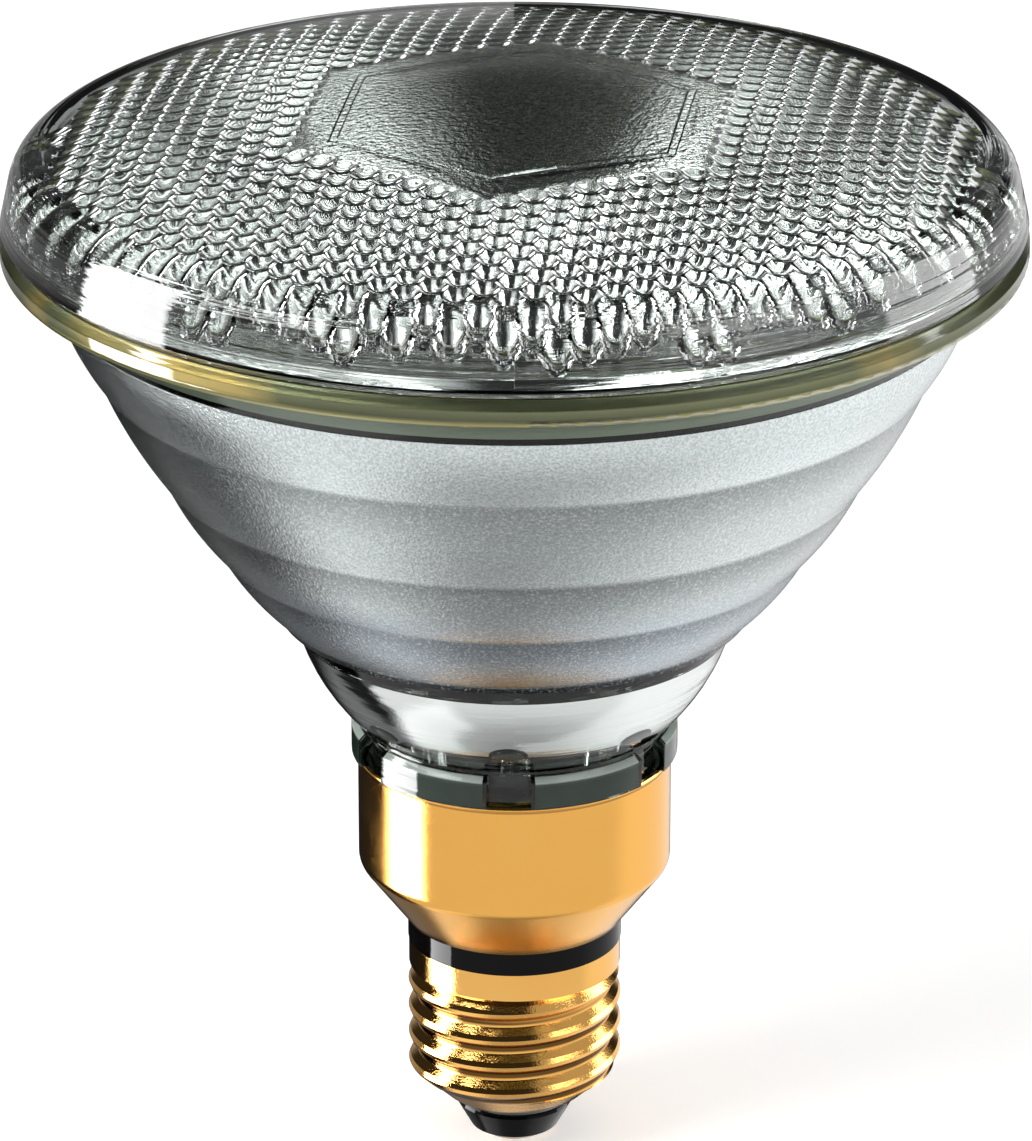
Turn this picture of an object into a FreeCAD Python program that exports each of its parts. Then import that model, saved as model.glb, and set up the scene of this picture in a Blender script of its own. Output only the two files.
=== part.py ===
import FreeCAD, Part
import math
import os

# Pressed glass reflector spotlight bulb with a skirted screw cap, in millimetres.
# The lamp stands cap down on its axis, Z up, and z = 0 is the lowest point of the centre contact.
# Most pieces are turned profiles, written as (radius, height) points.

# Overall
overall_length = 136.0
flange_radius = 61.25
joint_clearance = 0.05

# Centre contact and the black glass under the cap
solder_height = 0.9
solder_radius = 4.1
contact_radius = 5.0
contact_thickness = 0.5
insulator_bead_radius = 7.3
insulator_bead_height = 4.5
insulator_foot_flare = 0.5
insulator_foot_rise = 0.3
insulator_side_flare = 1.6
insulator_side_drop = 1.3
insulator_groove = 0.1
insulator_groove_rise = 0.35
insulator_top = 9.0
solder_round_share = 0.8
lead_radius = 0.3

# Screw shell
thread_pitch = 3.629
thread_crest_radius = 13.2
thread_root_radius = 12.1
thread_start_height = 4.58
thread_crest_flat = 1.2
thread_crest_round = 0.25
thread_flank_width = 3.1
thread_rib_root = 0.15
thread_fade_room = 0.3
thread_fade_rise = 1.1
thread_fade_depth = 2.0
thread_fade_inset = 0.6
thread_fade_top = 0.4
shell_wall = 0.35
shell_edge_radius = 9.0
shell_edge_height = 6.3
shell_cone_height = 2.9
shell_edge_slope = 0.6
band_step_below = 0.6
band_step_above = 0.2
thread_end_height = 21.3
band_bottom = 23.4
band_radius = 13.1
shell_top = 27.1

# Black insulating ring between the shell and the skirt
ring_radius = 13.2
ring_height = 2.9
ring_bore_radius = 8.0
ring_spigot_depth = 3.0
ring_neck_radius = 11.5
ring_clinch_radius = 12.4
ring_clinch_height = 1.0
ring_clinch_slope = 0.5

# Brass skirt
skirt_wall = 0.4
skirt_foot_radius = 13.3
skirt_radius = 19.22
skirt_cone_height = 7.8
skirt_corner_radius = 2.1
skirt_foot_slope = 0.5
skirt_corner_slope = 0.3
skirt_height = 22.3
skirt_bead = 0.22
skirt_bead_height = 0.6

# Glass reflector, outside
boss_gap = 0.5
boss_depth = 7.0
boss_wall = 4.2
boss_draft = 0.5
cement_margin = 1.0
foot_radius = 20.0
foot_face_height = 3.5
foot_chamfer = 0.6
notch_count = 6
notch_angle = 15.5
notch_front = -92.0
notch_depth = 1.6
neck_inset = 0.3
neck_bottom_rise = 0.5
neck_top_radius = 27.1
neck_share = 0.24747
neck_bulge = 1.35
body_low_radius = 29.31
body_inset = 4.7
band_step = 0.7
band_shares = (0.40236, 0.56061, 0.77946, 0.93939)
band_bulge = 0.4
collar_height = 0.7
collar_slope = 1.2
flange_height = 3.2
flange_edge_radius = 0.9
flange_edge_bulge = 0.26

# Glass reflector, inside
mirror_floor_radius = 10.68
mirror_floor_share = 0.06903
mirror_inset = 8.41
mirror_drop = 1.3
post_hole_radius = 1.7
post_hole_offset = 6.8
nipple_radius = 3.3
nipple_length = 4.0
nipple_root = 0.5
exhaust_radius = 2.2
exhaust_bore_radius = 1.3
exhaust_length = 11.0

# Seam between reflector and lens
seam_drop = 15.8
seal_thickness = 0.3
seam_chamfer = 0.9
seat_width = 4.05
seal_inset = 0.5

# Lens
lens_inset = 0.15
lens_taper = 1.4
lens_dome_rise = 7.1
lens_shoulder_fillet = 6.3
lens_thickness = 4.5
lenslet_pitch = 3.33
lenslet_height = 1.0
lenslet_overlap = 0.1
lenslet_root = 1.2
lenslet_turn = -7.4
field_margin = 0.7
plain_rows = 9
badge_radius = 23.6
badge_line_width = 1.2
badge_line_height = 0.5

# Filament and its mount
ferrule_wall = 0.3
ferrule_depth = 2.6
post_radius = 0.5
filament_length = 9.0
filament_radius = 1.0
filament_wire_radius = 0.16
filament_turns = 10
filament_leg_share = 0.9
filament_rise = 10.1
post_bend_drop = 1.68
post_bend_height = 2.0
post_bend_radius = 1.0
bead_radius = 1.1
bead_drop = 5.7
bead_overhang = 0.9
bead_round_share = 0.6
anchor_sink = 0.02
anchor_reach = 1.3
anchor_bend_radius = 0.4
anchor_wire_radius = 0.15

# Wiring in the cap
side_solder_radius = 1.1
fuse_radius = 1.7
fuse_length = 8.0
fuse_gap = 1.8
fuse_round_share = 0.4
lead_bend_gap = 2.4
lead_bend_drop = 2.2
lead_bend_radius = 1.2
side_lead_turns = 4.5
side_lead_rise = 3.0
side_lead_share = 0.8
side_solder_share = 0.5

# Heights and radii that follow from the values above
ring_top = shell_top + ring_height
skirt_bottom = ring_top
side_lead_height = thread_start_height + side_lead_turns * thread_pitch
skirt_top = skirt_bottom + skirt_height
foot_bottom = skirt_top
foot_top = foot_bottom + foot_face_height + foot_chamfer
neck_bottom_radius = foot_radius - foot_chamfer - neck_inset
neck_bottom = foot_top + neck_bottom_rise
boss_radius = skirt_radius - skirt_wall - boss_gap
boss_bottom = foot_bottom - boss_depth
seam_height = overall_length - seam_drop
seal_bottom = seam_height - seal_thickness / 2
seal_top = seam_height + seal_thickness / 2
seat_inner_radius = flange_radius - seat_width
flange_bottom = seam_height - flange_height
collar_top = flange_bottom - collar_height
collar_radius = flange_radius - body_inset
glass_height = collar_top - neck_bottom
neck_top = neck_bottom + neck_share * glass_height
band_edge_heights = [neck_top + band_step] + [neck_bottom + share * glass_height for share in band_shares]
mirror_floor = neck_bottom + mirror_floor_share * glass_height
mirror_top = collar_top - mirror_drop
mirror_top_radius = flange_radius - mirror_inset
floor_underside = foot_top
floor_glass = mirror_floor - floor_underside
ferrule_bottom = floor_underside - nipple_length - joint_clearance - ferrule_wall
shell_inner_band = band_radius - shell_wall
lens_side_radius = flange_radius - lens_inset
lens_shoulder_radius = lens_side_radius - lens_taper
lens_shoulder_height = overall_length - lens_dome_rise
field_radius = seat_inner_radius - field_margin
lead_bend_height = floor_underside - exhaust_length - lead_bend_gap
fuse_bottom = lead_bend_height - lead_bend_drop - fuse_gap - fuse_length
filament_height = mirror_floor + filament_rise
bead_height = filament_height - bead_drop

# The inside is a parabola, radius squared = steepness x (height - vertex), and the filament is at its focus
mirror_steepness = (mirror_top_radius ** 2 - mirror_floor_radius ** 2) / (mirror_top - mirror_floor)
mirror_vertex = mirror_floor - mirror_floor_radius ** 2 / mirror_steepness
axis = FreeCAD.Vector(0, 0, 1)
centre = FreeCAD.Vector(0, 0, 0)


def at(radius, height):
    """A point of a turned profile."""
    return FreeCAD.Vector(radius, 0, height)


def straight(points):
    """Straight edges through a list of (radius, height) points."""
    return [Part.makeLine(at(*a), at(*b)) for a, b in zip(points, points[1:])]


def bow(start, end, bulge):
    """An arc from start to end that stands out from its chord by the bulge, to the left going up."""
    middle_r = (start[0] + end[0]) / 2
    middle_z = (start[1] + end[1]) / 2
    run_r = end[0] - start[0]
    run_z = end[1] - start[1]
    chord = math.hypot(run_r, run_z)
    top = at(middle_r + bulge * run_z / chord, middle_z - bulge * run_r / chord)
    return Part.Arc(at(*start), top, at(*end)).toShape()


def turn_edges(edges):
    """A solid of revolution from the closed ring of edges."""
    return Part.Face(Part.Wire(edges)).revolve(centre, axis, 360)


def turn(points):
    """A solid of revolution from a closed polygon."""
    return turn_edges(straight(list(points) + [points[0]]))


def is_circle(edge):
    return not edge.Degenerated and edge.Curve.TypeId == "Part::GeomCircle"


def wire_along(points, bend_radius, wire_radius):
    """A round wire along straight runs with tangent arcs at the corners."""
    runs = [FreeCAD.Vector(*p) for p in points]
    edges = []
    start = runs[0]
    for before, corner, after in zip(runs, runs[1:], runs[2:]):
        inward = (before - corner).normalize()
        outward = (after - corner).normalize()
        half_turn = (math.pi - inward.getAngle(outward)) / 2
        cut = bend_radius * math.tan(half_turn)
        arc_start = corner + inward * cut
        arc_end = corner + outward * cut
        bisector = (inward + outward).normalize()
        arc_centre = corner + bisector * (bend_radius / math.cos(half_turn))
        arc_middle = arc_centre - bisector * bend_radius
        edges.append(Part.makeLine(start, arc_start))
        edges.append(Part.Arc(arc_start, arc_middle, arc_end).toShape())
        start = arc_end
    edges.append(Part.makeLine(start, runs[-1]))
    path = Part.Wire(edges)
    section = Part.Wire(Part.makeCircle(wire_radius, runs[0], runs[1] - runs[0]))
    return path.makePipeShell([section], True, True)


def save(name, shape):
    """Write one sub-part and print what it is."""
    solids = shape.Solids
    result = solids[0] if len(solids) == 1 else shape
    result.exportStep("parts/" + name + ".step")
    print(name, len(solids), "valid" if result.isValid() else "INVALID", round(result.Volume, 2))
    return result


# Centre contact: a soldered dome on a brass plate, set in black glass

def contact_solder():
    drop = Part.makeCylinder(solder_radius, solder_height)
    low = [edge for edge in drop.Edges if is_circle(edge) and edge.BoundBox.ZMax < solder_height / 2]
    drop = drop.makeFillet(solder_height * solder_round_share, low)
    hole = Part.makeCylinder(lead_radius, solder_height, at(0, solder_height / 2))
    return drop.cut(hole)


def contact_plate():
    plate = Part.makeCylinder(contact_radius, contact_thickness, at(0, solder_height))
    return plate.cut(Part.makeCylinder(lead_radius, contact_thickness, at(0, solder_height)))


def shell_cone(offset):
    """The two ends of the shell's lower cone, moved inwards by the offset."""
    rise = (thread_root_radius - shell_edge_radius) / shell_cone_height
    low = (shell_edge_radius - offset, shell_edge_height + offset * shell_edge_slope)
    high_rise = shell_cone_height + offset * (math.hypot(1, rise) - 1)
    return low, (thread_root_radius - offset, shell_edge_height + high_rise)


def insulator():
    low, high = shell_cone(shell_wall)
    top_radius = low[0] + (insulator_top - low[1]) * (high[0] - low[0]) / (high[1] - low[1])
    seat = solder_height + contact_thickness
    profile = [
        (lead_radius + joint_clearance, seat),
        (contact_radius + joint_clearance, seat),
        (contact_radius + joint_clearance, solder_height + joint_clearance),
        (contact_radius + insulator_foot_flare, solder_height + insulator_foot_rise),
        (contact_radius + insulator_side_flare, insulator_bead_height - insulator_side_drop),
        (insulator_bead_radius, insulator_bead_height),
        (insulator_bead_radius - insulator_groove, insulator_bead_height + insulator_groove_rise),
        (low[0] - joint_clearance, shell_edge_height),
        (low[0] - joint_clearance, low[1]),
        (top_radius - joint_clearance, insulator_top),
        (lead_radius + joint_clearance, insulator_top),
    ]
    return turn(profile)


# Screw shell: a thin drawn cup with a rolled thread that fades out at both ends

def helical_rib(base_radius, tip_radius, base_width, tip_width):
    helix = Part.makeHelix(thread_pitch, band_bottom + thread_pitch - thread_start_height, base_radius)
    helix.translate(at(0, thread_start_height))
    flat_radius = tip_radius - thread_crest_round
    section = [
        (base_radius, thread_start_height - base_width / 2),
        (flat_radius, thread_start_height - tip_width / 2),
        (tip_radius, thread_start_height),
        (flat_radius, thread_start_height + tip_width / 2),
        (base_radius, thread_start_height + base_width / 2),
    ]
    outline = Part.Wire(straight(section + [section[0]]))
    return Part.Wire(helix).makePipeShell([outline], True, True)


def shell_blank(offset):
    """The cup without its thread, filled: its outside, moved inwards by the offset."""
    low, high = shell_cone(offset)
    return [
        (0, low[1]),
        low,
        high,
        (thread_root_radius - offset, band_bottom - band_step_below),
        (band_radius - offset, band_bottom + band_step_above),
        (band_radius - offset, shell_top),
        (0, shell_top),
    ]


def rib_limits(offset):
    """The space in which the thread may stand out, sloped at both ends so that it fades."""
    reach = thread_crest_radius + thread_fade_room - offset
    bottom = shell_edge_height - thread_fade_depth + offset
    top = band_bottom + thread_fade_top - offset
    return turn([
        (0, bottom),
        (shell_edge_radius - thread_fade_depth, bottom),
        (reach, shell_edge_height + shell_cone_height + thread_fade_rise + offset),
        (reach, thread_end_height + thread_fade_room - offset),
        (thread_root_radius - thread_fade_inset, top),
        (0, top),
    ])


def screw_shell():
    root = thread_root_radius - thread_rib_root
    outside = turn(shell_blank(0))
    rib = helical_rib(root, thread_crest_radius, thread_flank_width, thread_crest_flat)
    outside = outside.fuse(rib.common(rib_limits(0)))
    inner_rib = helical_rib(root - shell_wall, thread_crest_radius - shell_wall,
                            thread_flank_width - 2 * shell_wall, thread_crest_flat - shell_wall)
    hollow = turn(shell_blank(shell_wall)).fuse(inner_rib.common(rib_limits(shell_wall)))
    mouth = Part.makeCylinder(shell_edge_radius - shell_wall, 2, at(0, shell_edge_height - 1))
    return outside.cut(hollow).cut(mouth)


# Black ring: it seats in the shell's plain band and is clinched into the skirt's foot

def cap_ring():
    return turn([
        (ring_bore_radius, shell_top - ring_spigot_depth),
        (shell_inner_band - joint_clearance, shell_top - ring_spigot_depth),
        (shell_inner_band - joint_clearance, shell_top),
        (ring_radius, shell_top),
        (ring_radius, ring_top),
        (ring_neck_radius, ring_top),
        (ring_neck_radius, ring_top + skirt_wall),
        (ring_clinch_radius, ring_top + skirt_wall),
        (ring_clinch_radius - ring_clinch_slope, ring_top + skirt_wall + ring_clinch_height),
        (ring_bore_radius, ring_top + skirt_wall + ring_clinch_height),
    ])


# Skirt: drawn brass with a soft corner, an inner lip on the ring and a beaded rim under the glass

def skirt_outline(offset):
    """Cone, soft corner and cylinder of the skirt, moved inwards by the offset."""
    foot = (skirt_foot_radius - offset, skirt_bottom + offset * skirt_foot_slope)
    corner = (skirt_radius - offset, skirt_bottom + skirt_cone_height + offset * skirt_corner_slope)
    run_r = corner[0] - foot[0]
    run_z = corner[1] - foot[1]
    length = math.hypot(run_r, run_z)
    half_turn = math.atan2(run_r, run_z) / 2
    radius = skirt_corner_radius - offset
    cut = radius * math.tan(half_turn)
    arc_start = (corner[0] - run_r / length * cut, corner[1] - run_z / length * cut)
    arc_end = (corner[0], corner[1] + cut)
    inside = (corner[0] - radius, corner[1] + cut)
    arc_middle = at(inside[0] + radius * math.cos(half_turn), inside[1] - radius * math.sin(half_turn))
    return foot, arc_start, arc_middle, arc_end


def cap_skirt():
    foot, cone_end, corner_middle, wall_start = skirt_outline(0)
    inner_foot, inner_cone_end, inner_middle, inner_wall = skirt_outline(skirt_wall)
    bead_bottom = skirt_top - skirt_bead_height
    edges = straight([(ring_neck_radius, skirt_bottom), foot, cone_end])
    edges.append(Part.Arc(at(*cone_end), corner_middle, at(*wall_start)).toShape())
    edges += straight([wall_start, (skirt_radius, bead_bottom)])
    edges.append(bow((skirt_radius, bead_bottom), (skirt_radius, skirt_top), skirt_bead))
    edges += straight([(skirt_radius, skirt_top), (skirt_radius - skirt_wall, skirt_top), inner_wall])
    edges.append(Part.Arc(at(*inner_wall), inner_middle, at(*inner_cone_end)).toShape())
    lip = skirt_bottom + skirt_wall
    slope = (inner_cone_end[0] - inner_foot[0]) / (inner_cone_end[1] - inner_foot[1])
    lip_corner = (inner_foot[0] + (lip - inner_foot[1]) * slope, lip)
    edges += straight([inner_cone_end, lip_corner, (ring_neck_radius, lip), (ring_neck_radius, skirt_bottom)])
    return turn_edges(edges)


def cement_ring():
    """Cement between the glass boss and the skirt."""
    outer = skirt_radius - skirt_wall
    bottom = boss_bottom + cement_margin
    top = foot_bottom - cement_margin
    return turn([(boss_radius, bottom), (outer, bottom), (outer, top), (boss_radius, top)])


# Reflector: pressed glass with a hollow boss, a notched foot, a bowl-shaped neck and four swelling bands

def body_radius(height):
    share = (height - band_edge_heights[0]) / (collar_top - band_edge_heights[0])
    return math.sqrt(body_low_radius ** 2 + (collar_radius ** 2 - body_low_radius ** 2) * share)


def mirror_curve():
    """The inside parabola, which one quadratic curve follows exactly."""
    low = mirror_floor_radius
    high = mirror_top_radius
    bend = at((low + high) / 2, mirror_vertex + low * high / mirror_steepness)
    curve = Part.BezierCurve()
    curve.setPoles([at(low, mirror_floor), bend, at(high, mirror_top)])
    return curve.toShape()


def reflector_profile():
    recess = boss_radius - boss_wall
    edges = straight([
        (0, floor_underside),
        (recess, floor_underside),
        (recess + boss_draft, boss_bottom),
        (boss_radius, boss_bottom),
        (boss_radius, foot_bottom),
        (foot_radius, foot_bottom),
        (foot_radius, foot_top - foot_chamfer),
        (foot_radius - foot_chamfer, foot_top),
        (neck_bottom_radius, foot_top),
        (neck_bottom_radius, neck_bottom),
    ])
    edges.append(bow((neck_bottom_radius, neck_bottom), (neck_top_radius, neck_top), neck_bulge))
    first = band_edge_heights[0]
    edges += straight([(neck_top_radius, neck_top), (body_radius(first), first)])
    for low, high in zip(band_edge_heights, band_edge_heights[1:]):
        edges.append(bow((body_radius(low), low), (body_radius(high), high), band_bulge))
    last = band_edge_heights[-1]
    under = flange_bottom + flange_edge_radius
    edge_start = (flange_radius - flange_edge_radius, flange_bottom)
    edges += straight([
        (body_radius(last), last),
        (collar_radius, collar_top),
        (collar_radius + collar_slope, flange_bottom),
        edge_start,
    ])
    edges.append(bow(edge_start, (flange_radius, under), flange_edge_bulge))
    edges += straight([
        (flange_radius, under),
        (flange_radius, seal_bottom - seam_chamfer),
        (flange_radius - seam_chamfer, seal_bottom),
        (seat_inner_radius, seal_bottom),
        (mirror_top_radius, mirror_top),
    ])
    edges.append(mirror_curve())
    edges += straight([(mirror_floor_radius, mirror_floor), (0, mirror_floor), (0, floor_underside)])
    return edges


def foot_notches():
    """Open slots in the outer face of the foot, one tool for each."""
    tools = []
    inner = foot_radius - notch_depth
    outer = foot_radius + notch_depth
    ring = turn([(inner, foot_bottom), (outer, foot_bottom), (outer, foot_top), (inner, foot_top)])
    first = notch_front - notch_angle / 2
    for step in range(notch_count):
        wedge = Part.makeCylinder(2 * outer, 2 * foot_top, centre, axis, notch_angle)
        wedge.rotate(centre, axis, first + step * 360 / notch_count)
        tools.append(ring.common(wedge))
    return tools


def reflector():
    glass = turn_edges(reflector_profile())
    nipples = []
    holes = []
    for side in (-1, 1):
        foot = FreeCAD.Vector(side * post_hole_offset, 0, floor_underside - nipple_length)
        nipples.append(Part.makeCylinder(nipple_radius, nipple_length + nipple_root, foot))
        holes.append(Part.makeCylinder(post_hole_radius, nipple_length + 2 * floor_glass, foot))
    holes.append(Part.makeCylinder(exhaust_bore_radius, 2 * floor_glass, at(0, floor_underside)))
    return glass.fuse(nipples).cut(foot_notches() + holes)


def exhaust_tube():
    """The glass tube that the lamp was filled through, with its end melted shut."""
    tip = floor_underside - exhaust_length
    tube = Part.makeCylinder(exhaust_radius, exhaust_length - exhaust_radius, at(0, tip + exhaust_radius))
    tube = tube.fuse(Part.makeSphere(exhaust_radius, at(0, tip + exhaust_radius)))
    bore_end = tip + 2 * exhaust_radius
    return tube.cut(Part.makeCylinder(exhaust_bore_radius, floor_underside - bore_end, at(0, bore_end)))


# Seam and lens

def rim_seal():
    outer = flange_radius - seam_chamfer - seal_inset
    return turn([(seat_inner_radius, seal_bottom), (outer, seal_bottom), (outer, seal_top),
                 (seat_inner_radius, seal_top)])


def lens_dome_radius():
    sag = overall_length - lens_shoulder_height
    return (lens_shoulder_radius ** 2 + sag ** 2) / (2 * sag)


def inner_dome(radius):
    """Height of the lens's smooth inside at this distance from the axis."""
    dome = lens_dome_radius()
    return overall_length - lens_thickness - dome + math.sqrt(dome ** 2 - radius ** 2)


def dome_edge(lowered, from_radius, to_radius):
    """An arc of the dome, or of a dome lowered under it, between two distances from the axis."""
    dome = lens_dome_radius()
    dome_centre = overall_length - lowered - dome
    radii = (from_radius, (from_radius + to_radius) / 2, to_radius)
    return Part.Arc(*[at(r, dome_centre + math.sqrt(dome ** 2 - r ** 2)) for r in radii]).toShape()


def lens_blank():
    """The lens before its pattern, with a sharp shoulder: seat, tapered rim, dome and hollow inside."""
    edges = [dome_edge(0, lens_shoulder_radius, 0)]
    edges += straight([(0, overall_length), (0, inner_dome(0))])
    edges.append(dome_edge(lens_thickness, 0, seat_inner_radius))
    edges += straight([
        (seat_inner_radius, inner_dome(seat_inner_radius)),
        (seat_inner_radius, seal_top),
        (lens_side_radius - seam_chamfer, seal_top),
        (lens_side_radius, seal_top + seam_chamfer),
        (lens_shoulder_radius, lens_shoulder_height),
    ])
    return turn_edges(edges)


def lenslet_centres():
    """Close-packed centres in the round field, outside the plain six-sided middle."""
    first = math.radians(lenslet_turn)
    second = first + math.pi / 3
    reach = int(field_radius / lenslet_pitch) + 3
    centres = []
    for i in range(-reach, reach + 1):
        for j in range(-reach, reach + 1):
            row = max(abs(i), abs(j), abs(i + j))
            x = lenslet_pitch * (i * math.sin(first) + j * math.sin(second))
            y = -lenslet_pitch * (i * math.cos(first) + j * math.cos(second))
            if row >= plain_rows and math.hypot(x, y) <= field_radius - lenslet_pitch / 2:
                centres.append((x, y))
    return centres


def lenslet_field():
    """One closed sheet of six-sided bumps, rooted in the glass, as flat facets."""
    points = []
    index = {}
    facets = []
    border = {}

    def vertex(x, y, level):
        key = (round(x, 4), round(y, 4), level)
        if key not in index:
            index[key] = len(points)
            points.append(FreeCAD.Vector(x, y, inner_dome(math.hypot(x, y)) + level))
        return index[key]

    corner_distance = lenslet_pitch / math.sqrt(3)
    corner_angles = [math.radians(lenslet_turn + 30 + 60 * step) for step in range(6)]
    for x, y in lenslet_centres():
        ring = [(x + corner_distance * math.sin(a), y - corner_distance * math.cos(a)) for a in corner_angles]
        low = [vertex(px, py, -lenslet_overlap) for px, py in ring]
        high = [vertex(px, py, lenslet_root) for px, py in ring]
        tip = vertex(x, y, -lenslet_height)
        for here in range(6):
            there = (here + 1) % 6
            facets.append((tip, low[there], low[here]))
            if border.pop((low[there], low[here]), None) is None:
                border[(low[here], low[there])] = (high[here], high[there])
        for here in range(1, 5):
            facets.append((high[0], high[here], high[here + 1]))
    for (low_a, low_b), (high_a, high_b) in border.items():
        facets.append((low_a, low_b, high_b))
        facets.append((low_a, high_b, high_a))
    sheet = Part.Shape()
    sheet.makeShapeFromMesh((points, facets), 0.0005)
    field = Part.Solid(sheet)
    if field.Volume < 0:
        field.reverse()
    return field


def badge_line():
    """The raised six-sided line round the plain middle of the lens."""
    def prism(radius, bottom, height):
        angles = [math.radians(lenslet_turn + 60 * step) for step in range(7)]
        corners = [FreeCAD.Vector(radius * math.sin(a), -radius * math.cos(a), bottom) for a in angles]
        return Part.Face(Part.makePolygon(corners)).extrude(FreeCAD.Vector(0, 0, height))

    bottom = inner_dome(badge_radius) - badge_line_height
    height = badge_line_height + lenslet_root
    half_width = badge_line_width / math.sqrt(3)
    outside = prism(badge_radius + half_width, bottom, height)
    return outside.cut(prism(badge_radius - half_width, bottom, height))


def lens():
    """The blank with its line and bumps, and then its rounded shoulder."""
    glass = lens_blank().fuse(badge_line()).fuse(lenslet_field())
    shoulder = [edge for edge in glass.Edges
                if is_circle(edge) and abs(edge.Curve.Center.z - lens_shoulder_height) < 0.01]
    return glass.makeFillet(lens_shoulder_fillet, shoulder)


# Filament mount: metal cups sealed over the glass nipples, stiff posts, a glass bead and an anchor

def ferrule(side):
    inner = nipple_radius + joint_clearance
    outer = inner + ferrule_wall
    cup = turn([(0, ferrule_bottom), (outer, ferrule_bottom),
                (outer, ferrule_bottom + ferrule_wall + ferrule_depth),
                (inner, ferrule_bottom + ferrule_wall + ferrule_depth),
                (inner, ferrule_bottom + ferrule_wall), (0, ferrule_bottom + ferrule_wall)])
    cup.translate(FreeCAD.Vector(side * post_hole_offset, 0, 0))
    return cup


def lead_post(side):
    """A stiff wire from the cup up through the glass, bent in to the end of the filament."""
    end = side * filament_length / 2
    shoulder = filament_height - post_bend_drop
    route = [
        (side * post_hole_offset, 0, ferrule_bottom + ferrule_wall),
        (side * post_hole_offset, 0, shoulder - post_bend_height),
        (end, 0, shoulder),
        (end, 0, filament_height + post_radius),
    ]
    return wire_along(route, post_bend_radius, post_radius)


def filament_coil():
    """A coiled wire across the focus, with straight legs that stand against the posts."""
    span = filament_length - 2 * (post_radius + filament_wire_radius)
    pitch = span / filament_turns
    helix = Part.makeHelix(pitch, span, filament_radius)
    section = Part.Wire(Part.makeCircle(filament_wire_radius, FreeCAD.Vector(filament_radius, 0, 0),
                                        FreeCAD.Vector(0, 1, 0)))
    coil = Part.Wire(helix).makePipeShell([section], True, True)
    coil.rotate(centre, FreeCAD.Vector(0, 1, 0), 90)
    coil.translate(FreeCAD.Vector(-span / 2, 0, filament_height))
    legs = []
    leg_length = filament_radius * filament_leg_share + post_radius
    for side in (-1, 1):
        start = FreeCAD.Vector(side * span / 2, 0, filament_height - filament_radius)
        legs.append(Part.makeCylinder(filament_wire_radius, leg_length, start, axis))
    return coil.fuse(legs)


def support_bead():
    """A glass bead that ties the two posts together below the filament."""
    half = post_hole_offset + post_radius + bead_overhang
    start = FreeCAD.Vector(-half, 0, bead_height)
    bar = Part.makeCylinder(bead_radius, 2 * half, start, FreeCAD.Vector(1, 0, 0))
    ends = [edge for edge in bar.Edges if is_circle(edge)]
    bar = bar.makeFillet(bead_radius * bead_round_share, ends)
    holes = []
    for side in (-1, 1):
        foot = FreeCAD.Vector(side * post_hole_offset, 0, bead_height - 2 * bead_radius)
        holes.append(Part.makeCylinder(post_radius, 4 * bead_radius, foot))
    return bar.cut(holes)


def filament_anchor():
    """A fine hook that stands on the bead and holds the middle of the filament."""
    foot = bead_height + bead_radius - anchor_sink
    top = filament_height - filament_radius - filament_wire_radius - anchor_wire_radius
    route = [(0, 0, foot), (0, 0, top), (0, anchor_reach, top)]
    return wire_along(route, anchor_bend_radius, anchor_wire_radius)


# Wiring in the cap

def outer_lead_centre():
    """From the left cup down the axis, through the fuse sleeve and the black glass, to the contact."""
    route = [
        (-post_hole_offset, 0, ferrule_bottom),
        (-post_hole_offset, 0, lead_bend_height),
        (0, 0, lead_bend_height - lead_bend_drop),
        (0, 0, solder_height / 2),
    ]
    return wire_along(route, lead_bend_radius, lead_radius)


def outer_lead_side():
    """From the right cup down to the inside of the screw shell's plain band."""
    wall = ring_bore_radius - lead_radius - joint_clearance
    end = thread_root_radius - shell_wall - side_solder_radius * side_lead_share
    route = [
        (post_hole_offset, 0, ferrule_bottom),
        (wall, 0, lead_bend_height),
        (wall, 0, side_lead_height + side_lead_rise),
        (end, 0, side_lead_height),
    ]
    return wire_along(route, lead_bend_radius, lead_radius)


def side_solder():
    """A drop of solder that joins the side lead to the inside of the shell."""
    reach = thread_root_radius - shell_wall
    place = FreeCAD.Vector(reach - side_solder_radius * side_solder_share, 0, side_lead_height)
    drop = Part.makeSphere(side_solder_radius, place)
    bottom = side_lead_height - 2 * side_solder_radius
    within = Part.makeCylinder(reach, 4 * side_solder_radius, at(0, bottom))
    return drop.common(within).cut(outer_lead_side())


def fuse_sleeve():
    """A glass sleeve with rounded ends round the fusible length of the centre lead."""
    top = fuse_bottom + fuse_length
    outline = [(lead_radius, fuse_bottom), (fuse_radius, fuse_bottom), (fuse_radius, top), (lead_radius, top)]
    tube = turn(outline)
    rims = [edge for edge in tube.Edges if is_circle(edge) and edge.Curve.Radius > fuse_radius - 0.01]
    return tube.makeFillet(fuse_radius * fuse_round_share, rims)


os.makedirs("parts", exist_ok=True)
save("contact_solder", contact_solder())
save("contact_plate", contact_plate())
save("cap_insulator", insulator())
save("screw_shell", screw_shell())
save("cap_ring", cap_ring())
save("cap_skirt", cap_skirt())
save("cement_ring", cement_ring())
save("reflector", reflector())
save("exhaust_tube", exhaust_tube())
save("rim_seal", rim_seal())
save("lens", lens())
save("ferrule_left", ferrule(-1))
save("ferrule_right", ferrule(1))
save("lead_post_left", lead_post(-1))
save("lead_post_right", lead_post(1))
save("filament_coil", filament_coil())
save("support_bead", support_bead())
save("filament_anchor", filament_anchor())
save("outer_lead_centre", outer_lead_centre())
save("outer_lead_side", outer_lead_side())
save("side_solder", side_solder())
save("fuse_sleeve", fuse_sleeve())
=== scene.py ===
import math

import bmesh
import bpy
from mathutils import Matrix, Vector


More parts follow.
